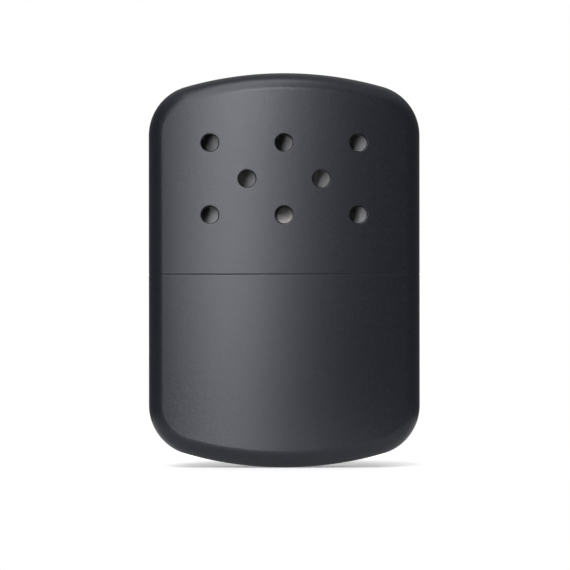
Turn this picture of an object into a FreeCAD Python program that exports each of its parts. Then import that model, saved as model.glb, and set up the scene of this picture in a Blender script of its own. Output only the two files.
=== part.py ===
"""Catalytic hand warmer: a fuel tank, a burner that slips over the tank's neck, and a vented lid.

The case is a flat rounded tin that stands upright: X is its width, Y its thickness with the
vents at the front (-Y), and Z its height. The origin is the middle of the underside. Millimetres.

Lid and tank are deep-drawn sheet with flush outsides that meet at the seam. The lid slides over a
collar that closes the tank. An oblong neck in the collar lets fuel in through a strainer, and a
felt wick and cotton wadding hold that fuel. The burner carries the platinum-coated glass-fibre mat
between wire gauzes, and lifts off the neck for filling.
"""
import FreeCAD, Part
import math
import os

V = FreeCAD.Vector

# Case
case_height = 99.0
case_width = 68.2
case_thickness = 14.3
seam_height = 48.5
face_radius = 180.0  # front and back are slightly convex across the width
crown_radius = 93.0  # top and bottom are arched
corner_radius = 12.7
rim_radius_wanted = 4.5  # rounding from the faces to the edge band, all the way round
rim_share = 0.47  # most of the edge band's thickness that one rim may take
sheet = 0.45  # lid, tank and collar
mouth_edge_radius = 0.2  # broken outer edge of lid and tank at the seam

# Vents: punched from outside, with the edge drawn inwards and thinned
vent_mouth = 4.88
vent_lip_radius = 0.3
vent_wall = 0.26
vent_depth = 0.95  # from the face to the end of the drawn edge
vent_column_pitch = 9.3
vent_row_pitch = 9.0
vent_centre_above_seam = 23.9
vent_rows = (  # columns of each row, counted in column pitches from the middle
    (-2, 0, 2),
    (-1, 1),
    (-2, 0, 2),
)

# Collar that closes the tank and guides the lid
collar_height = 6.5
collar_overlap = 6.0
collar_clearance = 0.1
collar_shoulder = 1.6

# Neck, strainer, wick and wadding
neck_height = 5.0
neck_sheet = 0.4
neck_bead = 0.25
neck_bead_slope = 0.9  # share of the bead that its sloped sides take
neck_bead_below_rim = 1.2
neck_rim_bevel = 0.3  # share of the sheet
neck_flange = 1.0
strainer_sheet = 0.4
strainer_hole = 1.5
strainer_pitch = 3.0
felt_thickness = 4.0
felt_margin = 0.9
felt_edge = 0.5
wadding_clearance = 0.3
wadding_bevel = 0.69  # share of the case's rounding at that depth
wadding_batts = ("wadding_lower", "wadding_middle", "wadding_upper")

# Burner
burner_length = 31.0
burner_gap = 0.4  # between the burner and the drawn edges of the vents
burner_sheet = 0.4
burner_fit = 0.05  # roof over cage
neck_fit = 0.06  # socket over the neck's bead
socket_standoff = 0.5
socket_foot = 0.45
socket_foot_height = 0.7
socket_foot_bevel = 0.3  # share of the foot's height
socket_deck_bevel = 0.6  # share of the sheet
cage_step = 0.3
cage_height = 8.6
cage_flange = 2.2
window_height = 5.4
window_sill = 1.8
window_corner = 0.7
window_post = 5.0
window_bar = 0.9
end_louvres = 3
end_louvre_height = 0.9
end_louvre_pitch = 1.9
end_louvre_width = 4.2
roof_skirt = 1.5
roof_edge = 0.45
roof_slots = 5
roof_slot_width = 1.3
roof_slot_pitch = 4.4
gauze_thickness = 0.25
gauze_pitch = 1.6
gauze_wire = 0.5
mat_clearance = 0.15
mat_edge = 0.8


def face_sag(x):
    """How far the face falls away from the middle of the case at a distance x to the side."""
    return face_radius - math.sqrt(face_radius**2 - x**2)


# Sizes that follow from those above
half_width = case_width / 2
edge_thickness = case_thickness - 2 * face_sag(half_width)
face_slope = math.asin(half_width / face_radius)
rim_run = math.tan((math.pi / 2 - face_slope) / 2)  # edge used by a rim of radius 1
rim_radius = min(rim_radius_wanted, rim_share * edge_thickness / rim_run)
corner_x = half_width - corner_radius
corner_drop = crown_radius - math.sqrt((crown_radius - corner_radius) ** 2 - corner_x**2)
vent_throat = vent_mouth / 2 - vent_lip_radius

guide_inset = sheet + collar_clearance
collar_top = seam_height + collar_height
panel_underside = collar_top - sheet
flange_underside = panel_underside - neck_sheet
strainer_underside = flange_underside - strainer_sheet
felt_underside = strainer_underside - felt_thickness
neck_rim = collar_top + neck_height

burner_width = 2 * (
    case_thickness / 2 - face_sag(burner_length / 2) - vent_depth - burner_gap
)
cage_inset = burner_sheet + burner_fit
socket_inset = cage_inset + cage_step
bead_inset = socket_inset + burner_sheet + neck_fit
neck_inset = bead_inset + neck_bead
neck_bore_inset = neck_inset + neck_sheet
deck_top = neck_rim + burner_sheet
cage_top = deck_top + cage_height
gauze_face = burner_width / 2 - cage_inset - burner_sheet
cage_straight = burner_length / 2 - burner_width / 2  # half length of the cage's flat sides


def box(x0, x1, y0, y1, z0, z1):
    return Part.makeBox(x1 - x0, y1 - y0, z1 - z0, V(x0, y0, z0))


def slab(z0, z1):
    """A slice of space between two heights, wider than the case."""
    return box(-case_width, case_width, -case_width, case_width, z0, z1)


def fuse_all(shapes):
    joined = shapes[0]
    for shape in shapes[1:]:
        joined = joined.fuse(shape)
    return joined.removeSplitter()


def edges_at(shape, z):
    """Edges of a shape that lie flat at height z."""
    return [
        e for e in shape.Edges
        if abs(e.BoundBox.ZMin - z) < 1e-4 and abs(e.BoundBox.ZMax - z) < 1e-4
    ]


def flat_edges(shape):
    """Every edge of an upright form that runs level, at its top and at its bottom."""
    return [e for e in shape.Edges if e.BoundBox.ZLength < 1e-4]


# ---- Forms of the case -------------------------------------------------------------------------

def between_faces(blank, inset):
    """Trims a blank to the convex front and back, moved in by inset."""
    reach = 4 * case_height
    axis_y = face_radius - case_thickness / 2
    for side in (1, -1):
        barrel = Part.makeCylinder(face_radius - inset, reach, V(0, side * axis_y, -case_height))
        blank = blank.common(barrel)
    return blank


def case_outline(inset):
    """The closed outline of the case from the front, moved in by inset, as a wire in the XZ plane.

    Points of a quarter are given as distances from the middle and from the end of the case. The
    angle is measured from upright: 0 at the middle of the crown, a quarter turn at the side.
    """
    meet = math.asin(corner_x / (crown_radius - corner_radius))  # where crown and corner join
    side_on = math.pi / 2

    def on_crown(angle):
        r = crown_radius - inset
        return r * math.sin(angle), crown_radius - r * math.cos(angle)

    def on_corner(angle):
        r = corner_radius - inset
        return corner_x + r * math.sin(angle), corner_drop - r * math.cos(angle)

    def place(quarter, side, top):
        x, depth = quarter
        return V(side * x, 0, case_height - depth if top else depth)

    edges = []
    for top in (True, False):
        left, right = (place(on_crown(meet), side, top) for side in (-1, 1))
        edges.append(Part.Arc(left, place(on_crown(0), 1, top), right).toShape())
        for side, join in ((-1, left), (1, right)):
            half_way = place(on_corner((meet + side_on) / 2), side, top)
            edges.append(Part.Arc(join, half_way, place(on_corner(side_on), side, top)).toShape())
    for side in (-1, 1):
        ends = [place(on_corner(side_on), side, top) for top in (True, False)]
        edges.append(Part.LineSegment(*ends).toShape())
    return Part.Wire(Part.__sortEdges__(edges))


def case_blank(inset):
    """The outline of the case at its full thickness, moved in by inset, with sharp edges."""
    outline = case_outline(inset)
    outline.translate(V(0, -case_thickness, 0))
    return between_faces(Part.Face(outline).extrude(V(0, 2 * case_thickness, 0)), inset)


def face_border(blank, radius):
    """The edges round the front and back, the faces that are curved to this radius."""
    border = []
    for face in blank.Faces:
        if isinstance(face.Surface, Part.Cylinder) and abs(face.Surface.Radius - radius) < 1e-6:
            border += face.OuterWire.Edges
    return [e for e in blank.Edges if any(e.isSame(b) for b in border)]


def case_form(inset):
    """The whole closed case, moved in by inset on every side, with its rounded rims."""
    blank = case_blank(inset)
    return blank.makeFillet(rim_radius - inset, face_border(blank, face_radius - inset))


def case_prism(inset, z0, z1):
    """A straight stretch of the case between two heights, moved in by inset."""
    x_side = half_width - inset
    blank = between_faces(box(-x_side, x_side, -case_thickness, case_thickness, z0, z1), inset)
    upright = [e for e in blank.Edges if e.BoundBox.ZLength > (z1 - z0) / 2]
    return blank.makeFillet(rim_radius - inset, upright)


# ---- Oblong forms of the neck and burner -------------------------------------------------------

def oblong(length, width, z0, z1):
    """An upright solid with straight sides along X and half-round ends."""
    r = width / 2
    x = length / 2 - r
    straights = [
        Part.LineSegment(V(-x, -r, z0), V(x, -r, z0)).toShape(),
        Part.LineSegment(V(x, r, z0), V(-x, r, z0)).toShape(),
    ]
    ends = [
        Part.Arc(V(x, -r, z0), V(x + r, 0, z0), V(x, r, z0)).toShape(),
        Part.Arc(V(-x, r, z0), V(-x - r, 0, z0), V(-x, -r, z0)).toShape(),
    ]
    wire = Part.Wire([straights[0], ends[0], straights[1], ends[1]])
    return Part.Face(wire).extrude(V(0, 0, z1 - z0))


def burner_oblong(inset, z0, z1):
    """An oblong that is the burner's outside moved in by inset."""
    return oblong(burner_length - 2 * inset, burner_width - 2 * inset, z0, z1)


# ---- Lid ---------------------------------------------------------------------------------------

def vent_places():
    """X and Z of every vent, row by row from the top."""
    middle = (len(vent_rows) - 1) / 2
    for row, columns in enumerate(vent_rows):
        z = seam_height + vent_centre_above_seam + (middle - row) * vent_row_pitch
        for column in columns:
            yield column * vent_column_pitch, z


def square_to_front(radius, depth_from, depth_to, x, z):
    """A round bar square to the convex front at x and z, between two depths below its surface."""
    bar = Part.makeCylinder(radius, depth_to - depth_from, V(0, depth_from, 0), V(0, 1, 0))
    bar.rotate(V(0, 0, 0), V(0, 0, 1), math.degrees(math.asin(x / face_radius)))
    bar.translate(V(x, face_sag(x) - case_thickness / 2, z))
    return bar


def vent_rim(shell, x, z):
    """The edge where the vent at x and z breaks the front surface."""
    def around_vent(edge):
        bounds = edge.BoundBox
        off_centre = math.hypot(bounds.Center.x - x, bounds.Center.z - z)
        return off_centre < vent_throat / 4 and bounds.ZLength > vent_throat
    return min(filter(around_vent, shell.Edges), key=lambda edge: edge.BoundBox.YMin)


def lid_shell():
    outside = case_form(0).common(slab(seam_height, 2 * case_height))
    outside = outside.makeFillet(mouth_edge_radius, edges_at(outside, seam_height))
    shell = outside.cut(case_form(sheet))
    for x, z in vent_places():
        shell = shell.fuse(square_to_front(vent_throat + vent_wall, sheet / 2, vent_depth, x, z))
        shell = shell.cut(square_to_front(vent_throat, -sheet, vent_depth + sheet, x, z))
    return shell.makeFillet(vent_lip_radius, [vent_rim(shell, x, z) for x, z in vent_places()])


# ---- Tank --------------------------------------------------------------------------------------

def tank_shell():
    outside = case_form(0).common(slab(-case_height, seam_height))
    outside = outside.makeFillet(mouth_edge_radius, edges_at(outside, seam_height))
    return outside.cut(case_form(sheet))


def tank_collar():
    """An inverted drawn cup: its skirt is soldered into the tank, and its upper part guides the lid."""
    skirt = case_prism(sheet, seam_height - collar_overlap, seam_height)
    guide = case_prism(guide_inset, seam_height, collar_top)
    guide = guide.makeFillet(collar_shoulder, edges_at(guide, collar_top))
    hollow = case_prism(guide_inset + sheet, seam_height - collar_overlap - 1, panel_underside)
    hollow = hollow.makeFillet(collar_shoulder - sheet, edges_at(hollow, panel_underside))
    collar = fuse_all([skirt, guide]).cut(hollow)
    return collar.cut(burner_oblong(neck_inset, panel_underside - 1, collar_top + 1))


def filler_neck():
    tube = burner_oblong(neck_inset, flange_underside, neck_rim)
    flange = burner_oblong(neck_inset - neck_flange, flange_underside, panel_underside)
    bead_middle = neck_rim - neck_bead_below_rim
    bead = burner_oblong(bead_inset, bead_middle - neck_bead, bead_middle + neck_bead)
    bead = bead.makeChamfer(neck_bead_slope * neck_bead, flat_edges(bead))
    neck = fuse_all([tube, flange, bead])
    neck = neck.cut(burner_oblong(neck_bore_inset, flange_underside - 1, neck_rim + 1))
    return neck.makeChamfer(neck_rim_bevel * neck_sheet, edges_at(neck, neck_rim))


def oblong_grid(length, width, pitch, margin):
    """Staggered places inside an oblong, each at least margin from its edge."""
    r = width / 2 - margin
    straight = length / 2 - width / 2
    row_pitch = pitch * math.sqrt(3) / 2
    rows = int(r // row_pitch)
    for row in range(-rows, rows + 1):
        y = row * row_pitch
        shift = pitch / 2 if row % 2 else 0
        columns = int((length / 2) // pitch) + 1
        for column in range(-columns, columns + 1):
            x = column * pitch + shift
            beyond = max(abs(x) - straight, 0)
            if math.hypot(beyond, y) <= r:
                yield x, y


def neck_strainer():
    """A pierced plate under the neck's flange, which keeps the wick and wadding in."""
    plate = burner_oblong(neck_inset - neck_flange, strainer_underside, flange_underside)
    bore_length = burner_length - 2 * neck_bore_inset
    bore_width = burner_width - 2 * neck_bore_inset
    margin = strainer_hole / 2 + strainer_sheet
    low = strainer_underside - strainer_sheet
    holes = [
        Part.makeCylinder(strainer_hole / 2, 3 * strainer_sheet, V(x, y, low))
        for x, y in oblong_grid(bore_length, bore_width, strainer_pitch, margin)
    ]
    return plate.cut(Part.makeCompound(holes))


def wick_felt():
    felt = burner_oblong(neck_inset - felt_margin, felt_underside, strainer_underside)
    return felt.makeChamfer(felt_edge, edges_at(felt, felt_underside))


def wadding():
    """The cotton, packed as one batt on another from the bottom of the tank to the wick."""
    inset = guide_inset + sheet + wadding_clearance
    blank = case_blank(inset)
    bevel = wadding_bevel * (rim_radius - inset)
    blank = blank.makeChamfer(bevel, face_border(blank, face_radius - inset))
    height = (felt_underside - inset) / len(wadding_batts)
    return {
        name: blank.common(slab(inset + level * height, inset + (level + 1) * height))
        for level, name in enumerate(wadding_batts)
    }


# ---- Burner ------------------------------------------------------------------------------------

def burner_socket():
    """A drawn cap that slips over the neck and rests on its rim."""
    foot_z = collar_top + socket_standoff
    outside = burner_oblong(socket_inset, foot_z, deck_top)
    outside = outside.makeChamfer(socket_deck_bevel * burner_sheet, edges_at(outside, deck_top))
    foot = burner_oblong(socket_inset - socket_foot, foot_z, foot_z + socket_foot_height)
    foot = foot.makeChamfer(socket_foot_bevel * socket_foot_height, flat_edges(foot))
    hollow = burner_oblong(bead_inset - neck_fit, foot_z - 1, neck_rim)
    vapour_slot = burner_oblong(neck_bore_inset + cage_flange / 2, neck_rim - 1, deck_top + 1)
    return fuse_all([outside, foot]).cut(hollow).cut(vapour_slot)


def window_cutter(x0, x1):
    """A cutter for one window through front and back, with rounded corners."""
    z0 = deck_top + window_sill
    cutter = box(x0, x1, -burner_width, burner_width, z0, z0 + window_height)
    along_y = [e for e in cutter.Edges if e.BoundBox.YLength > burner_width]
    return cutter.makeFillet(window_corner, along_y)


def burner_cage():
    """The band round the mat, with barred windows in its sides and louvres in its ends."""
    band = burner_oblong(cage_inset, deck_top, cage_top)
    band = band.cut(burner_oblong(cage_inset + burner_sheet, deck_top + burner_sheet, cage_top + 1))
    band = band.cut(burner_oblong(cage_inset + cage_flange, deck_top - 1, deck_top + 1))
    window_end = cage_straight - window_bar
    window_width = (window_end - window_post / 2 - window_bar) / 2
    windows = []
    for side in (-1, 1):
        for number in range(2):
            near = window_post / 2 + number * (window_width + window_bar)
            ends = sorted((side * near, side * (near + window_width)))
            windows.append(window_cutter(*ends))
    window_middle = deck_top + window_sill + window_height / 2
    louvres = []
    for number in range(end_louvres):
        z = window_middle + (number - (end_louvres - 1) / 2) * end_louvre_pitch
        louvres.append(box(-burner_length, burner_length,
                           -end_louvre_width / 2, end_louvre_width / 2,
                           z - end_louvre_height / 2, z + end_louvre_height / 2))
    return band.cut(Part.makeCompound(windows)).cut(Part.makeCompound(louvres))


def burner_roof():
    """A slotted cap pressed over the top of the cage."""
    top = cage_top + burner_sheet
    outside = burner_oblong(0, cage_top - roof_skirt, top)
    outside = outside.makeChamfer(roof_edge, edges_at(outside, top))
    roof = outside.cut(burner_oblong(burner_sheet, cage_top - roof_skirt - 1, cage_top))
    slot_length = burner_width - 2 * (cage_inset + 2 * burner_sheet)
    for number in range(roof_slots):
        x = (number - (roof_slots - 1) / 2) * roof_slot_pitch
        slot = oblong(slot_length, roof_slot_width, cage_top - 1, top + 1)
        slot.rotate(V(0, 0, 0), V(0, 0, 1), 90)
        slot.translate(V(x, 0, 0))
        roof = roof.cut(slot)
    return roof


def gauze_holes(length, height):
    """The low corner of every hole of a gauze that is centred and has closed edges."""
    def starts(size):
        count = int((size - gauze_wire) // gauze_pitch)
        first = (gauze_wire - count * gauze_pitch) / 2
        return [first + number * gauze_pitch for number in range(count)]
    return [(u, v) for u in starts(length) for v in starts(height)]


def gauze_panel(length, height):
    """A flat gauze in the XZ plane about the origin, its front face at y = 0."""
    panel = box(-length / 2, length / 2, 0, gauze_thickness, -height / 2, height / 2)
    hole = gauze_pitch - gauze_wire
    holes = [
        box(u, u + hole, -gauze_thickness, 2 * gauze_thickness, v, v + hole)
        for u, v in gauze_holes(length, height)
    ]
    return panel.cut(Part.makeCompound(holes))


def side_gauze(side):
    """The gauze behind the windows at the front (-1) or back (1)."""
    low = deck_top + burner_sheet
    panel = gauze_panel(2 * cage_straight, cage_top - low)
    y = -gauze_face if side < 0 else gauze_face - gauze_thickness
    panel.translate(V(0, y, (low + cage_top) / 2))
    return panel


def floor_gauze():
    """The gauze that carries the mat, lying in the cage's opening on the socket's deck."""
    low = deck_top
    plate = burner_oblong(cage_inset + cage_flange + burner_fit, low, low + gauze_thickness)
    length = burner_length - burner_width
    width = burner_width - 2 * (cage_inset + cage_flange + burner_fit)
    hole = gauze_pitch - gauze_wire
    holes = [
        box(u, u + hole, v, v + hole, low - 1, low + 1)
        for u, v in gauze_holes(length, width)
    ]
    return plate.cut(Part.makeCompound(holes))


def catalyst_mat():
    """The platinum-coated glass-fibre pad between the gauzes."""
    inset = burner_width / 2 - (gauze_face - gauze_thickness - mat_clearance)
    low = deck_top + burner_sheet
    mat = burner_oblong(inset, low, cage_top - mat_clearance)
    return mat.makeChamfer(mat_edge, flat_edges(mat))


def all_parts():
    parts = {
        "lid_shell": lid_shell(),
        "tank_shell": tank_shell(),
        "tank_collar": tank_collar(),
        "filler_neck": filler_neck(),
        "neck_strainer": neck_strainer(),
        "wick_felt": wick_felt(),
        "burner_socket": burner_socket(),
        "burner_cage": burner_cage(),
        "burner_roof": burner_roof(),
        "gauze_front": side_gauze(-1),
        "gauze_rear": side_gauze(1),
        "gauze_floor": floor_gauze(),
        "catalyst_mat": catalyst_mat(),
    }
    parts.update(wadding())
    return parts


os.makedirs("parts", exist_ok=True)
for name, shape in all_parts().items():
    if not shape.isValid() or len(shape.Solids) < 1:
        raise ValueError(name + " is not a sound solid")
    Part.makeCompound(shape.Solids).exportStep("parts/" + name + ".step")
    print(name, len(shape.Solids), "solid(s)", round(shape.Volume, 1), "mm3")
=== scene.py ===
"""Looks of the catalytic hand warmer, dressed over its CAD frame.

The lid and tank are welded copies of their shells, painted outside and bare inside. The metal
inside them keeps its CAD shape. The gauzes are woven from wire, and the fibre pads are softened.
"""
import math

import bmesh
import bpy
from bpy.props import FloatProperty, FloatVectorProperty, IntProperty, PointerProperty
from mathutils import Matrix, Vector, noise


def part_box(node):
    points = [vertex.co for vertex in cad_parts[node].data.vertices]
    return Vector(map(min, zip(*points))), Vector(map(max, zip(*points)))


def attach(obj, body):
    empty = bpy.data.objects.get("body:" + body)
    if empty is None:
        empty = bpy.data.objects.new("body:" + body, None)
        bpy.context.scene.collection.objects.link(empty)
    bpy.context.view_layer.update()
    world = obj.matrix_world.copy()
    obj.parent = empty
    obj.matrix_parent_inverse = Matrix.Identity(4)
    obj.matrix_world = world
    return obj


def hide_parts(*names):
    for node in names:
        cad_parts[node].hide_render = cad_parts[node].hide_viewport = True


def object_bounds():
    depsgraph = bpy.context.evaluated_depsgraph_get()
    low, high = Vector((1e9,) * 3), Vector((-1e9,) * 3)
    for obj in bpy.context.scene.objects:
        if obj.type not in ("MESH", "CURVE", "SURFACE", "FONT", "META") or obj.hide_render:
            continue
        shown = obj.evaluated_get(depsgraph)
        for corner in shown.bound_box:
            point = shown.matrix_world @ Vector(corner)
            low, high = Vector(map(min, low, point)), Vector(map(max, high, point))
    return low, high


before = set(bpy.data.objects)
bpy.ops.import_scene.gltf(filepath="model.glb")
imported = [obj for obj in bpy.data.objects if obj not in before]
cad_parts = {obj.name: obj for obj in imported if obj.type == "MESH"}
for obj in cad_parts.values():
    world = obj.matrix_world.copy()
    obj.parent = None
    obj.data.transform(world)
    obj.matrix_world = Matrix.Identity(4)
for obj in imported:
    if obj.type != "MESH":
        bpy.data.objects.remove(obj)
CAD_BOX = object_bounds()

bl_info = {
    "name": "Catalytic hand warmer",
    "version": (1, 0, 0),
    "blender": (4, 5, 0),
    "location": "3D View > Sidebar > Hand warmer",
    "description": "Dresses the hand warmer's lid, tank, burner and wick, and sets the studio",
    "category": "Object",
}

MM = 0.001


# ---- Sizes and colours -------------------------------------------------------------------------


def colour(name, description, default):
    return FloatVectorProperty(
        name=name, description=description, default=default, size=3, subtype="COLOR", min=0, max=1
    )


def length(name, description, default):
    return FloatProperty(name=name, description=description, default=default, unit="LENGTH", min=0)


def share(name, description, default):
    return FloatProperty(
        name=name, description=description, default=default, subtype="FACTOR", min=0, max=1
    )


def angle(name, description, degrees):
    return FloatProperty(
        name=name, description=description, default=math.radians(degrees), subtype="ANGLE"
    )


def span(name, degrees):
    """The edges of a lamp as the case sees them: left, right, bottom and top."""
    return FloatVectorProperty(
        name=name, description="Left, right, bottom and top edge, seen from the case", size=4,
        default=[math.radians(edge) for edge in degrees], unit="ROTATION",
    )


def radiance(name, default):
    return FloatProperty(
        name=name, description="Radiance, where 1 is white", default=default, min=0
    )


class CaseSettings(bpy.types.PropertyGroup):
    face_radius: length("Face radius", "Curve of the front and back across the width", 180 * MM)
    crown_radius: length("Crown radius", "Arch of the top and bottom", 93 * MM)
    corner_radius: length("Corner radius", "Rounding between crown and side", 12.7 * MM)
    rim_radius: length("Rim radius", "Rounding from the faces to the edge band", 4.5 * MM)
    mouth_edge: length("Mouth edge", "Broken edge of lid and tank at the seam", 0.2 * MM)
    crease: angle("Crease angle", "Steeper edges than this stay sharp", 38)
    paint: colour("Paint", "Colour of the satin black paint", (0.0055, 0.0064, 0.0102))
    paint_roughness: share("Paint roughness", "How far the satin paint spreads light", 0.32)
    paint_ior: FloatProperty(
        name="Paint IOR", description="Strength of the paint's gloss", default=1.45, min=1
    )
    gloss: colour("Gloss", "Colour of what the paint mirrors", (0.955, 0.96, 1.0))
    speckle: length("Speckle", "Size of the paint's fine grains", 0.42 * MM)
    speckle_height: length("Speckle height", "How proud the grains stand", 0.012 * MM)
    peel: length("Orange peel", "Size of the slow waves in the paint", 1.3 * MM)
    peel_height: length("Orange peel height", "Depth of the slow waves", 0.006 * MM)


class MetalSettings(bpy.types.PropertyGroup):
    tin: colour("Tin plate", "Inside of the case, collar, neck and strainer", (0.62, 0.62, 0.627))
    tin_roughness: share("Tin roughness", "How dull the plate is", 0.68)
    steel: colour("Steel", "Stainless sheet of the burner", (0.46, 0.455, 0.445))
    steel_roughness: share("Steel roughness", "How dull the sheet is", 0.53)
    straw: colour("Straw tint", "Steel that has been warm", (0.42, 0.405, 0.385))
    # The dark colour is heat oxide that is also painted shade: the hot place below sits up and to
    # the left, so its dark patch shades the upper left of the bottom middle vent's view.
    scale: colour("Dark scale", "Steel at the hottest place", (0.06, 0.059, 0.059))
    heat_and_shade_left: length("Heat, left", "Hottest place, left of the cage's middle", 2.5 * MM)
    heat_and_shade_below: length("Heat, below", "Hottest place, below the cage's top", 2.5 * MM)
    heat_and_shade_width: length("Heat width", "Reach of the heat tints to each side", 12.5 * MM)
    heat_and_shade_height: length("Heat height", "Reach of the heat tints up and down", 6.667 * MM)
    wire: colour("Wire", "Woven stainless wire", (0.50, 0.49, 0.48))
    hot_wire: colour("Hot wire", "Wire that has run hot", (0.31, 0.2695, 0.2256))
    wire_roughness: share("Wire roughness", "How dull the wire is", 0.365)


class GauzeSettings(bpy.types.PropertyGroup):
    pitch: length("Pitch", "Distance from wire to wire", 0.62 * MM)
    wire: length("Wire", "Diameter of a wire", 0.12 * MM)
    sides: IntProperty(name="Sides", description="Sides of a round wire", default=6, min=3)
    crease: angle("Crease angle", "Steeper edges than this stay sharp", 70)


class FibreSettings(bpy.types.PropertyGroup):
    mat: colour("Catalyst mat", "Platinum-grey glass fibre", (0.30, 0.30, 0.31))
    felt: colour("Felt", "Pressed wool of the wick", (0.80, 0.77, 0.70))
    cotton: colour("Cotton", "Loose wadding", (0.86, 0.84, 0.79))
    mat_dimple: length("Mat dimples", "Depth of the needling in the mat", 0.14 * MM)
    felt_wave: length("Felt waves", "Unevenness of the felt", 0.10 * MM)
    cotton_lump: length("Cotton lumps", "Unevenness of the wadding", 0.55 * MM)


class StageSettings(bpy.types.PropertyGroup):
    distance: length("Camera distance", "From the camera to the middle of the case", 0.9)
    height: length("Camera height", "Height of the camera over the table", 45.8 * MM)
    aside: length("Camera aside", "From the case's middle to the right", 0.19 * MM)
    roll: angle("Camera roll", "Turn of the camera about its own axis", 0.05)
    focal: FloatProperty(
        name="Focal length", description="In millimetres, on a 36 mm sensor",
        default=225.7, subtype="DISTANCE_CAMERA",
    )
    light: colour("Light", "Colour of the lamps", (0.965, 0.97, 1.0))
    lamps: length("Lamp distance", "From the lamps to the middle of the case", 3.0)
    key: span("Key", (-12.4, -3.4, -6, 22))
    key_lean: angle("Key lean", "How far the top of the key leans to the right", 20)
    key_light: radiance("Key brightness", 13.6)
    upper: span("Upper panel", (-36, 0, 12, 76))
    upper_light: radiance("Upper panel brightness", 3.7)
    front: radiance("Front", 0.02)
    surround: radiance("Surround", 0.22)
    ceiling: radiance("Ceiling", 0.6)
    backdrop: angle("Backdrop", "Half width of the white backdrop behind the case", 18)
    table: length("Table", "Radius of the white table", 0.08)
    table_glow: share("Table glow", "White that the table's middle adds for the camera", 0.28)
    table_shine: share("Table in reflections", "White that the table adds in glossy surfaces", 0.1)


class HandWarmerSettings(bpy.types.PropertyGroup):
    case: PointerProperty(type=CaseSettings)
    metal: PointerProperty(type=MetalSettings)
    gauze: PointerProperty(type=GauzeSettings)
    fibre: PointerProperty(type=FibreSettings)
    stage: PointerProperty(type=StageSettings)


# ---- Materials ---------------------------------------------------------------------------------

# Width of a noise texture's grains in metres where its scale is 1
NOISE_GRAIN = 0.6


def combined(tree, operation, first, second):
    """A Math node on two values, each a number or another node's output."""
    node = tree.nodes.new("ShaderNodeMath")
    node.operation = operation
    for socket, value in zip(node.inputs, (first, second)):
        if isinstance(value, bpy.types.NodeSocket):
            tree.links.new(value, socket)
        else:
            socket.default_value = value
    return node.outputs[0]


def mapped(tree, value, low, high, to_low, to_high, shape):
    """Maps low..high of a value to a new range, held at its ends."""
    node = tree.nodes.new("ShaderNodeMapRange")
    node.interpolation_type = shape
    tree.links.new(value, node.inputs["Value"])
    limits = {"From Min": low, "From Max": high, "To Min": to_low, "To Max": to_high}
    for name, number in limits.items():
        node.inputs[name].default_value = number
    return node.outputs["Result"]


def ray_kinds(tree):
    """Two outputs: 1 for what the camera sees directly, and 1 for what gloss or glass shows."""
    path = tree.nodes.new("ShaderNodeLightPath").outputs
    shown = combined(tree, "MAXIMUM", path["Is Glossy Ray"], path["Is Transmission Ray"])
    return path["Is Camera Ray"], shown


def shaded(colour, by):
    """A colour times a number: darker below 1, and paler above it."""
    return [by * part for part in colour]


class Finish:
    """A material with one main shader, and short ways to add grain, tint and relief to it."""

    def __init__(self, name, colour, roughness, metallic=0.0):
        self.material = bpy.data.materials.new(name)
        self.material.use_nodes = True
        self.material.diffuse_color = (*colour, 1.0)
        self.tree = self.material.node_tree
        self.shader = self.tree.nodes["Principled BSDF"]
        self.set("Base Color", (*colour, 1.0))
        self.set("Roughness", roughness)
        self.set("Metallic", metallic)
        self.place = self.tree.nodes.new("ShaderNodeTexCoord").outputs["Object"]
        self.relief = None

    def set(self, socket, value):
        self.shader.inputs[socket].default_value = value

    def add(self, kind, **inputs):
        """A node of this kind. Values are set on its sockets, and other nodes' outputs linked."""
        node = self.tree.nodes.new(kind)
        for name, value in inputs.items():
            socket = node.inputs[name]
            if isinstance(value, bpy.types.NodeSocket):
                self.tree.links.new(value, socket)
            else:
                socket.default_value = value
        return node

    def vector(self, operation, first, second=(0, 0, 0)):
        """A Vector Math node on another node's output and, where it needs one, a second vector."""
        node = self.add("ShaderNodeVectorMath", Vector=first)
        node.operation = operation
        node.inputs[1].default_value = second
        return node.outputs["Value" if operation == "LENGTH" else "Vector"]

    def grain(self, size, stretch=(1, 1, 1), detail=2.0, rough=0.5, twist=0.0):
        """Noise from 0 to 1 whose grains are about this size, longer where stretch is below 1."""
        made = self.add(
            "ShaderNodeTexNoise", Vector=self.vector("MULTIPLY", self.place, stretch),
            Scale=NOISE_GRAIN / size, Detail=detail, Roughness=rough, Distortion=twist,
        )
        return made.outputs["Fac"]

    def between(self, value, low, high, to_low=0.0, to_high=1.0):
        """Maps low..high of a value evenly to a new range, held at its ends."""
        return mapped(self.tree, value, low, high, to_low, to_high, "LINEAR")

    def mix(self, factor, first, second):
        """A colour between two, each a colour or another node's output."""
        node = self.tree.nodes.new("ShaderNodeMix")
        node.data_type = "RGBA"
        self.tree.links.new(factor, node.inputs["Factor"])
        for name, value in (("A", first), ("B", second)):
            socket = next(s for s in node.inputs if s.name == name and s.type == "RGBA")
            if isinstance(value, bpy.types.NodeSocket):
                self.tree.links.new(value, socket)
            else:
                socket.default_value = (*value, 1.0)
        return next(s for s in node.outputs if s.type == "RGBA")

    def times(self, first, second):
        return combined(self.tree, "MULTIPLY", first, second)

    def tint(self, value):
        self.tree.links.new(value, self.shader.inputs["Base Color"])

    def dull(self, value):
        self.tree.links.new(value, self.shader.inputs["Roughness"])

    def emboss(self, pattern, depth):
        """Raises the surface by a pattern, on top of the relief that it already has."""
        bump = self.add("ShaderNodeBump", Height=pattern, Distance=depth)
        if self.relief:
            self.tree.links.new(self.relief, bump.inputs["Normal"])
        self.relief = bump.outputs["Normal"]
        self.tree.links.new(self.relief, self.shader.inputs["Normal"])


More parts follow.
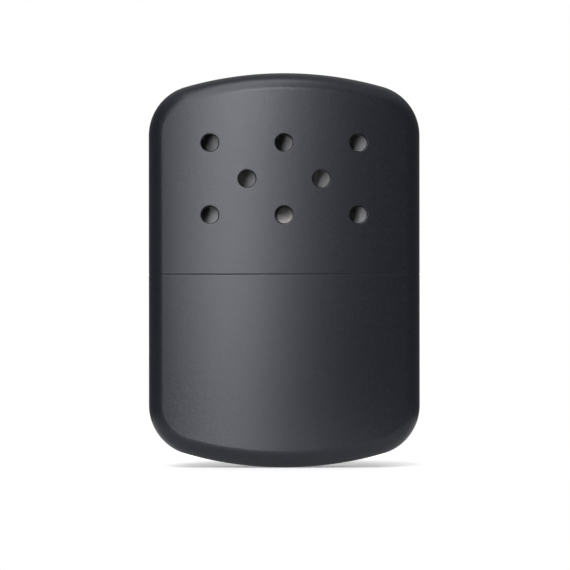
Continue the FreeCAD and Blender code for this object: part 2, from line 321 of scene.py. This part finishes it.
def satin_black_paint(case):
    """Black stoving paint with a fine speckle over slow orange peel."""
    finish = Finish("satin_black_paint", case.paint, case.paint_roughness)
    speckle = finish.grain(case.speckle, detail=1.0, rough=0.6)
    dark, pale = shaded(case.paint, 0.82), shaded(case.paint, 1.35)
    finish.tint(finish.mix(finish.between(speckle, 0.35, 0.65), dark, pale))
    finish.emboss(finish.grain(case.peel, detail=1.0), case.peel_height)
    finish.emboss(speckle, case.speckle_height)
    finish.set("IOR", case.paint_ior)
    finish.set("Specular Tint", (*case.gloss, 1.0))
    return finish.material


def tin_plate(metal):
    """Dull tin over drawn steel, with faint upright drawing marks and soft stains."""
    finish = Finish("tin_plate", metal.tin, metal.tin_roughness, 1.0)
    drawn = finish.grain(0.5 * MM, stretch=(1, 1, 0.06), detail=3.0, rough=0.6)
    stain = finish.grain(7 * MM, detail=4.0, rough=0.6, twist=0.6)
    finish.tint(finish.mix(finish.between(stain, 0.35, 0.7), metal.tin, shaded(metal.tin, 0.84)))
    rough = metal.tin_roughness
    finish.dull(finish.between(finish.times(drawn, stain), 0.1, 0.45, rough - 0.07, rough + 0.10))
    finish.emboss(drawn, 0.004 * MM)
    return finish.material


def burner_steel(metal):
    """Satin stainless sheet that heat has tinted straw and scaled dark. The darkest patch also
    paints the shade seen at the upper left of the bottom middle vent.
    """
    finish = Finish("burner_steel", metal.steel, metal.steel_roughness, 1.0)
    low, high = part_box("burner_cage")
    # The hot place sits up and left of the cage's middle, where its dark patch paints shade into
    # the bottom middle vent's view.
    hottest_and_shadiest = ((low.x + high.x) / 2 - metal.heat_and_shade_left, 0, high.z - metal.heat_and_shade_below)
    rolled = finish.grain(0.35 * MM, stretch=(0.08, 1, 1), detail=3.0, rough=0.6)
    soot = finish.grain(4 * MM, detail=4.0, rough=0.65, twist=0.5)
    away = finish.vector("SUBTRACT", finish.place, hottest_and_shadiest)
    spread = finish.vector("MULTIPLY", away, (1 / metal.heat_and_shade_width, 0, 1 / metal.heat_and_shade_height))
    ragged = finish.between(soot, 0.2, 0.8, 1.05, 1.35)
    warmth_and_shade = combined(finish.tree, "SUBTRACT", ragged, finish.vector("LENGTH", spread))
    warm = finish.mix(finish.between(warmth_and_shade, 0.0, 0.35), metal.steel, metal.straw)
    # Straw tint from heat, then the dark patch: heat oxide that also paints the shade in the bottom
    # middle vent.
    finish.tint(finish.mix(finish.between(warmth_and_shade, 0.3, 0.75), warm, metal.scale))
    rough = metal.steel_roughness
    worn = finish.between(finish.times(rolled, soot), 0.1, 0.45, rough - 0.06, rough + 0.08)
    scaled = finish.between(warmth_and_shade, 0.2, 0.8, 0.0, 0.20)
    finish.dull(combined(finish.tree, "ADD", worn, scaled))
    finish.emboss(rolled, 0.003 * MM)
    return finish.material


def gauze_wire(metal):
    """Drawn stainless wire, a little darker where it has run hot."""
    rough = metal.wire_roughness
    finish = Finish("gauze_wire", metal.wire, rough, 1.0)
    hot = finish.grain(3 * MM, detail=3.0, twist=0.4)
    finish.tint(finish.mix(finish.between(hot, 0.35, 0.7), metal.wire, metal.hot_wire))
    finish.dull(finish.between(finish.grain(0.2 * MM), 0.3, 0.7, rough - 0.085, rough + 0.085))
    return finish.material


def fibre(name, colour, shade, strand, stretch, depth, sheen):
    """Matte fibres: fine strands on soft tufts, with painted shade in the hollows, whose colour is
    shade times the fibres'.
    """
    finish = Finish(name, colour, roughness=0.92)
    strands = finish.grain(strand, stretch=stretch, detail=5.0, rough=0.7, twist=2.5)
    tufts = finish.grain(8 * strand, detail=3.0, rough=0.6, twist=0.8)
    # Painted shade: where the strand and tuft relief is low, the colour is darkened.
    raised = finish.between(finish.times(strands, tufts), 0.12, 0.42)
    finish.tint(finish.mix(raised, shaded(colour, shade), colour))
    finish.emboss(tufts, 3 * depth)
    finish.emboss(strands, depth)
    finish.set("Sheen Weight", sheen)
    finish.set("Specular IOR Level", 0.2)
    return finish.material


# ---- Making pieces -----------------------------------------------------------------------------

# Corners of a CAD node's loose triangles that are nearer than this are one point
WELD = 0.001 * MM

# How near a point has to be to the case's true form: to a face, and in rim radii to a rim
NEAR_FACE = 0.003 * MM
NEAR_RIM = 0.004

# Least cosine between a facet's own normal and the true one that takes its place
SAME_WAY = 0.9

# A woven wire goes down in two steps and up in two
STEPS_IN_WAVE = 4


def mesh_of(bm, name):
    """Turns a bmesh into a mesh and frees it."""
    mesh = bpy.data.meshes.new(name)
    bm.to_mesh(mesh)
    bm.free()
    return mesh


def in_scene(name, data):
    """A new object of this data, in the scene."""
    made = bpy.data.objects.new(name, data)
    bpy.context.scene.collection.objects.link(made)
    return made


def to_piece(bm, name, body, nodes, materials):
    """Turns a bmesh into an object that rides on a body and stands for these CAD nodes."""
    piece = in_scene(name, mesh_of(bm, name))
    for material in materials:
        piece.data.materials.append(material)
    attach(piece, body)
    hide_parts(*nodes)
    return piece


def welded(node):
    """A bmesh of a CAD node with its loose triangles joined."""
    bm = bmesh.new()
    bm.from_mesh(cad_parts[node].data)
    for layer in list(bm.loops.layers.uv.values()):
        bm.loops.layers.uv.remove(layer)
    bmesh.ops.remove_doubles(bm, verts=bm.verts, dist=WELD)
    return bm


def smooth_with_creases(bm, crease):
    """Smooth shading, with every edge steeper than crease kept sharp."""
    for face in bm.faces:
        face.smooth = True
    for edge in bm.edges:
        edge.smooth = edge.is_manifold and edge.calc_face_angle(0) < crease


def mark_outside(bm):
    """Gives slot 0 to what smooth edges join to the front, and slot 1 to the rest."""
    for face in bm.faces:
        face.material_index = 1
    todo = [min(bm.faces, key=lambda face: face.calc_center_median().y)]
    todo[0].material_index = 0
    while todo:
        for edge in todo.pop().edges:
            if edge.smooth:
                for face in edge.link_faces:
                    if face.material_index:
                        face.material_index = 0
                        todo.append(face)


def skin_normal(point, case):
    """The way out from the case's true form at a point of its skin, or None off its faces and rims.

    A point on a rim stands a rim radius from the rim's spine. Its depths below the face and below
    the side of the outline give the direction.
    """
    low, high = CAD_BOX
    half = (high - low) / 2
    across = point - (low + high) / 2
    x, y, z = (abs(part) for part in across)
    face = Vector((x, y + case.face_radius - half.y, 0))
    face_depth = case.face_radius - face.length
    face.normalize()
    crown_centre = half.z - case.crown_radius
    corner_x = half.x - case.corner_radius
    reach = case.crown_radius - case.corner_radius
    join = Vector((corner_x, math.sqrt(reach ** 2 - corner_x ** 2)))
    corner_z = crown_centre + join.y
    if z < corner_z:
        side, side_depth = Vector((1, 0, 0)), half.x - x
    elif x * join.y < join.x * (z - crown_centre):
        side = Vector((x, 0, z - crown_centre))
        side_depth = case.crown_radius - side.length
    else:
        side = Vector((x - corner_x, 0, z - corner_z))
        side_depth = case.corner_radius - side.length
    side.normalize()
    lean = side.dot(face)
    to_face, to_side = (1 - depth / case.rim_radius for depth in (face_depth, side_depth))
    if to_side > lean:
        out = side * (to_side - lean * to_face) + face * (to_face - lean * to_side)
        out /= 1 - lean * lean
        on_skin = abs(out.length - 1) < NEAR_RIM
    else:
        out = face
        on_skin = abs(face_depth) < NEAR_FACE
    if not on_skin:
        return None
    return Vector(math.copysign(part, sign) for part, sign in zip(out.normalized(), across))


def true_normals(mesh, case):
    """Shades the painted faces and rims as the true form that their flat facets stand for."""
    normals = [corner.vector.copy() for corner in mesh.corner_normals]
    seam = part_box("lid_shell")[0].z
    for face in mesh.polygons:
        if face.material_index == 0:
            for index in face.loop_indices:
                point = mesh.vertices[mesh.loops[index].vertex_index].co
                past_mouth = abs(point.z - seam) > 0.99 * case.mouth_edge
                out = skin_normal(point, case)
                if out and past_mouth and out.dot(normals[index]) > SAME_WAY:
                    normals[index] = out
    mesh.normals_split_custom_set(normals)


class HANDWARMER_OT_case(bpy.types.Operator):
    """Paint the lid and the tank outside and leave them bare inside"""

    bl_idname = "hand_warmer.case"
    bl_label = "Lid and tank"

    def execute(self, context):
        settings = context.scene.hand_warmer
        materials = [satin_black_paint(settings.case), tin_plate(settings.metal)]
        for node, body in (("lid_shell", "lid"), ("tank_shell", "tank")):
            bm = welded(node)
            smooth_with_creases(bm, settings.case.crease)
            mark_outside(bm)
            piece = to_piece(bm, body + "_case", body, [node], materials)
            true_normals(piece.data, settings.case)
        return {"FINISHED"}


class HANDWARMER_OT_metalwork(bpy.types.Operator):
    """Finish the collar, neck, strainer and the burner's sheet metal"""

    bl_idname = "hand_warmer.metalwork"
    bl_label = "Collar, neck and burner sheet"

    def execute(self, context):
        metal = context.scene.hand_warmer.metal
        tin, steel = tin_plate(metal), burner_steel(metal)
        for node in ("tank_collar", "filler_neck", "neck_strainer"):
            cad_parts[node].material_slots[0].material = tin
        for node in ("burner_socket", "burner_cage", "burner_roof"):
            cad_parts[node].material_slots[0].material = steel
        return {"FINISHED"}


def wire_row(gauze, width, length):
    """Wires along Z, a pitch apart in X and waved in Y, every other one half a wave further on."""
    pitch, radius = gauze.pitch, gauze.wire / 2
    wave = 2 * pitch
    waves_each_way = int(length / 2 / wave) + 1
    bm = bmesh.new()
    bmesh.ops.create_circle(
        bm, radius=radius, segments=gauze.sides,
        matrix=Matrix.Translation((0, radius, -waves_each_way * wave)),
    )
    edges = bm.edges[:]
    for step in range(2 * waves_each_way * STEPS_IN_WAVE):
        grown = bmesh.ops.extrude_edge_only(bm, edges=edges)["geom"]
        edges = [part for part in grown if isinstance(part, bmesh.types.BMEdge)]
        ring = [part for part in grown if isinstance(part, bmesh.types.BMVert)]
        swing = radius if step % STEPS_IN_WAVE > 1 else -radius
        bmesh.ops.translate(bm, verts=ring, vec=(0, swing, wave / STEPS_IN_WAVE))
    wire = bm.verts[:] + bm.edges[:] + bm.faces[:]
    beside = int(width / pitch / 2)
    for number in range(-beside, beside + 1):
        if number:
            grown = bmesh.ops.duplicate(bm, geom=wire)["geom"]
            verts = [part for part in grown if isinstance(part, bmesh.types.BMVert)]
            bmesh.ops.translate(bm, verts=verts, vec=(number * pitch, 0, number % 2 * pitch))
    return bm


def weave(gauze, width, length, inside):
    """A plain weave in the XZ plane about the origin, cut off where inside(x, z) ends."""
    bm = wire_row(gauze, width, length)
    weft = wire_row(gauze, length, width)
    over_to_under = Matrix.Rotation(math.pi, 4, "X") @ Matrix.Rotation(math.pi / 2, 4, "Y")
    bmesh.ops.transform(weft, matrix=over_to_under, verts=weft.verts)
    joined = mesh_of(weft, "weft")
    bm.from_mesh(joined)
    bpy.data.meshes.remove(joined)
    cut = [vert for vert in bm.verts if not inside(vert.co.x, vert.co.z)]
    bmesh.ops.delete(bm, geom=cut, context="VERTS")
    ends = [edge for edge in bm.edges if edge.is_boundary]
    bmesh.ops.holes_fill(bm, edges=ends, sides=gauze.sides)
    bmesh.ops.recalc_face_normals(bm, faces=bm.faces)
    smooth_with_creases(bm, gauze.crease)
    return bm


class HANDWARMER_OT_gauzes(bpy.types.Operator):
    """Weave the wire gauzes in front of, behind and under the mat"""

    bl_idname = "hand_warmer.gauzes"
    bl_label = "Wire gauzes"

    def execute(self, context):
        settings = context.scene.hand_warmer
        wire = gauze_wire(settings.metal)
        for node in ("gauze_front", "gauze_rear", "gauze_floor"):
            low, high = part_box(node)
            size = high - low
            lying = size.z < size.y
            width, reach = size.x / 2, (size.y if lying else size.z) / 2
            straight = width - reach

            def on_panel(x, z):
                return abs(x) < width and abs(z) < reach

            def on_oblong(x, z):
                return math.hypot(max(abs(x) - straight, 0), z) < reach

            bm = weave(settings.gauze, 2 * width, 2 * reach, on_oblong if lying else on_panel)
            turn = Matrix.Rotation(math.pi / 2 if lying else 0, 4, "X")
            place = Matrix.Translation((low + high) / 2) @ turn
            bmesh.ops.transform(bm, matrix=place, verts=bm.verts)
            to_piece(bm, "woven_" + node, "burner", [node], [wire])
        return {"FINISHED"}


def soft_form(node, voxel, depth, lump):
    """The CAD pad as an uneven mass of fibre, whose surface is let in by lumps, never raised."""
    mesh = mesh_of(welded(node), node + "_form")
    form = in_scene(mesh.name, mesh)
    remesh = form.modifiers.new("Even", "REMESH")
    remesh.mode = "VOXEL"
    remesh.voxel_size = voxel
    graph = bpy.context.evaluated_depsgraph_get()
    even = bpy.data.meshes.new_from_object(form.evaluated_get(graph))
    bpy.data.objects.remove(form)
    bpy.data.meshes.remove(mesh)
    bm = bmesh.new()
    bm.from_mesh(even)
    bpy.data.meshes.remove(even)
    axes = {"use_axis_x": True, "use_axis_y": True, "use_axis_z": True}
    bmesh.ops.smooth_vert(bm, verts=bm.verts, factor=0.5, **axes)
    bm.normal_update()
    for vert in bm.verts:
        broad = noise.noise(vert.co / lump)
        fine = noise.noise(vert.co / (lump / 3))
        vert.co -= vert.normal * depth * (0.5 + 0.35 * broad + 0.15 * fine)
    for face in bm.faces:
        face.smooth = True
    return bm


class HANDWARMER_OT_catalyst_mat(bpy.types.Operator):
    """Needle the catalyst mat that fills the burner's cage"""

    bl_idname = "hand_warmer.catalyst_mat"
    bl_label = "Catalyst mat"

    def execute(self, context):
        fibres = context.scene.hand_warmer.fibre
        look = fibre(
            "glass_fibre", fibres.mat, shade=0.45, strand=0.12 * MM, stretch=(0.5, 1, 1),
            depth=0.03 * MM, sheen=0.1,
        )
        bm = soft_form("catalyst_mat", voxel=0.28 * MM, depth=fibres.mat_dimple, lump=1.4 * MM)
        mat = to_piece(bm, "needled_mat", "burner", ["catalyst_mat"], [look])
        return {"FINISHED"}


class HANDWARMER_OT_wick(bpy.types.Operator):
    """Felt the wick and pack the tank with cotton"""

    bl_idname = "hand_warmer.wick"
    bl_label = "Wick felt and wadding"

    def execute(self, context):
        fibres = context.scene.hand_warmer.fibre
        wool = fibre(
            "wool_felt", fibres.felt, shade=0.72, strand=0.10 * MM, stretch=(1, 1, 0.7),
            depth=0.02 * MM, sheen=0.25,
        )
        bm = soft_form("wick_felt", voxel=0.30 * MM, depth=fibres.felt_wave, lump=2.5 * MM)
        felt = to_piece(bm, "wick_pad", "tank", ["wick_felt"], [wool])
        cotton = fibre(
            "cotton", fibres.cotton, shade=0.78, strand=0.16 * MM, stretch=(1, 1, 1),
            depth=0.05 * MM, sheen=0.3,
        )
        for node in ("wadding_lower", "wadding_middle", "wadding_upper"):
            bm = soft_form(node, voxel=0.55 * MM, depth=fibres.cotton_lump, lump=4 * MM)
            batt = to_piece(bm, "cotton_" + node, "tank", [node], [cotton])
        return {"FINISHED"}


# ---- Studio ------------------------------------------------------------------------------------

# Watts a square metre of a flat lamp whose radiance is 1
LAMP_POWER = 4

# Y of the directions between which the dark front turns into the walls, and Z of those between
# which the ceiling brightens
FRONT_EDGE = (-0.95, -0.85)
CEILING_EDGE = (0.2, 0.8)

# Depth in Y of the backdrop's soft edge
BACKDROP_EDGE = 0.01

# Shares of the table's radius between which its glow rises to 1. This glow is painted light: full
# white near the edge washes out the case's shadow there.
GLOW_RISE = (0.3, 0.8)


def set_camera(stage):
    camera = bpy.data.cameras.new("camera")
    camera.lens = stage.focal
    camera.clip_start, camera.clip_end = 0.05, 20.0
    stand = in_scene("camera", camera)
    middle = (CAD_BOX[0] + CAD_BOX[1]) / 2
    stand.location = (middle.x + stage.aside, middle.y - stage.distance, stage.height)
    stand.rotation_euler = (math.pi / 2, stage.roll, 0)
    bpy.context.scene.camera = stand


def softbox(name, stage, edges, brightness, lean=0.0):
    """A flat lamp that fills this span, turned to the middle of the case.

    Its top leans over to the right by an angle.
    """
    left, right, low, high = edges
    turn, rise = (left + right) / 2, (low + high) / 2
    lamp = bpy.data.lights.new(name, "AREA")
    lamp.shape = "RECTANGLE"
    lamp.size = 2 * stage.lamps * math.tan((right - left) / 2) * math.cos(rise)
    lamp.size_y = 2 * stage.lamps * math.tan((high - low) / 2)
    lamp.color = stage.light
    lamp.energy = brightness * LAMP_POWER * lamp.size * lamp.size_y
    to_lamp = Matrix.Rotation(turn, 3, "Z") @ Vector((0, -math.cos(rise), math.sin(rise)))
    stand = in_scene(name, lamp)
    stand.location = (CAD_BOX[0] + CAD_BOX[1]) / 2 + to_lamp * stage.lamps
    stand.visible_camera = False
    facing = to_lamp.to_track_quat("Z", "Y").to_matrix()
    stand.rotation_euler = (facing @ Matrix.Rotation(-lean, 3, "Z")).to_euler()


def set_surround(stage):
    """A grey studio with a pale ceiling and a dark front, white where it is seen.

    Gloss mirrors the backdrop as white too.
    """
    world = bpy.data.worlds.new("studio")
    bpy.context.scene.world = world
    world.use_nodes = True
    tree = world.node_tree
    back = tree.nodes["Background"]
    back.inputs["Color"].default_value = (1, 1, 1, 1)
    direction = tree.nodes.new("ShaderNodeSeparateXYZ")
    tree.links.new(tree.nodes.new("ShaderNodeTexCoord").outputs["Generated"], direction.inputs[0])

    def ramp(axis, start, end, low, high):
        return mapped(tree, direction.outputs[axis], start, end, low, high, "SMOOTHSTEP")

    edge = math.cos(stage.backdrop)
    seen, mirrored = ray_kinds(tree)
    backdrop = combined(tree, "MULTIPLY", mirrored, ramp("Y", edge - BACKDROP_EDGE, edge, 0.0, 1.0))
    walls = ramp("Y", *FRONT_EDGE, stage.front, stage.surround)
    room = combined(tree, "MAXIMUM", walls, ramp("Z", *CEILING_EDGE, 0.0, stage.ceiling))
    white = combined(tree, "MAXIMUM", seen, backdrop)
    tree.links.new(combined(tree, "MAXIMUM", white, room), back.inputs["Strength"])


def lay_table(stage):
    """A round white table that looks white, apart from the shade under the case. Its glow is
    painted light, dimmer in the middle and full white at the edge, where it whitens out the shadow.
    """
    bm = bmesh.new()
    bmesh.ops.create_circle(bm, cap_ends=True, radius=stage.table, segments=96)
    table = in_scene("table", mesh_of(bm, "table"))
    table.location.z = CAD_BOX[0].z
    white = Finish("white_table", (0.86, 0.86, 0.86), roughness=0.8)
    white.set("Emission Color", (1, 1, 1, 1))
    start, end = (part * stage.table for part in GLOW_RISE)
    # Painted light: the camera's glow rises toward the edge, over the case's shadow.
    rise = white.between(white.vector("LENGTH", white.place), start, end, stage.table_glow, 1.0)
    seen, mirrored = ray_kinds(white.tree)
    shine = white.times(mirrored, stage.table_shine)
    glow = combined(white.tree, "ADD", white.times(seen, rise), shine)
    white.tree.links.new(glow, white.shader.inputs["Emission Strength"])
    table.data.materials.append(white.material)


class HANDWARMER_OT_stage(bpy.types.Operator):
    """Set the camera, the softboxes, the studio round them and the white table"""

    bl_idname = "hand_warmer.stage"
    bl_label = "Studio"

    def execute(self, context):
        stage = context.scene.hand_warmer.stage
        set_camera(stage)
        softbox("key", stage, stage.key, stage.key_light, stage.key_lean)
        softbox("upper", stage, stage.upper, stage.upper_light)
        set_surround(stage)
        lay_table(stage)
        context.scene.view_settings.view_transform = "Standard"
        return {"FINISHED"}


# ---- Add-on ------------------------------------------------------------------------------------

OPERATORS = (
    HANDWARMER_OT_case,
    HANDWARMER_OT_metalwork,
    HANDWARMER_OT_gauzes,
    HANDWARMER_OT_catalyst_mat,
    HANDWARMER_OT_wick,
    HANDWARMER_OT_stage,
)


class HANDWARMER_PT_panel(bpy.types.Panel):
    """Lists the pieces of the hand warmer and their settings"""

    bl_label = "Hand warmer"
    bl_space_type = "VIEW_3D"
    bl_region_type = "UI"
    bl_category = "Hand warmer"

    def draw(self, context):
        column = self.layout.column(align=True)
        for operator in OPERATORS:
            column.operator(operator.bl_idname)
        settings = context.scene.hand_warmer
        for title, group in (
            ("Case", settings.case), ("Metal", settings.metal), ("Gauze", settings.gauze),
            ("Fibre", settings.fibre), ("Stage", settings.stage),
        ):
            box = self.layout.box()
            box.label(text=title)
            for name in group.__annotations__:
                box.prop(group, name)


CLASSES = (
    CaseSettings, MetalSettings, GauzeSettings, FibreSettings, StageSettings, HandWarmerSettings,
    *OPERATORS, HANDWARMER_PT_panel,
)


def register():
    for made in CLASSES:
        bpy.utils.register_class(made)
    bpy.types.Scene.hand_warmer = PointerProperty(type=HandWarmerSettings)


def unregister():
    del bpy.types.Scene.hand_warmer
    for made in reversed(CLASSES):
        bpy.utils.unregister_class(made)


def main():
    register()
    bpy.ops.hand_warmer.case()
    bpy.ops.hand_warmer.metalwork()
    bpy.ops.hand_warmer.gauzes()
    bpy.ops.hand_warmer.catalyst_mat()
    bpy.ops.hand_warmer.wick()
    bpy.ops.hand_warmer.stage()


if __name__ == "__main__":
    main()
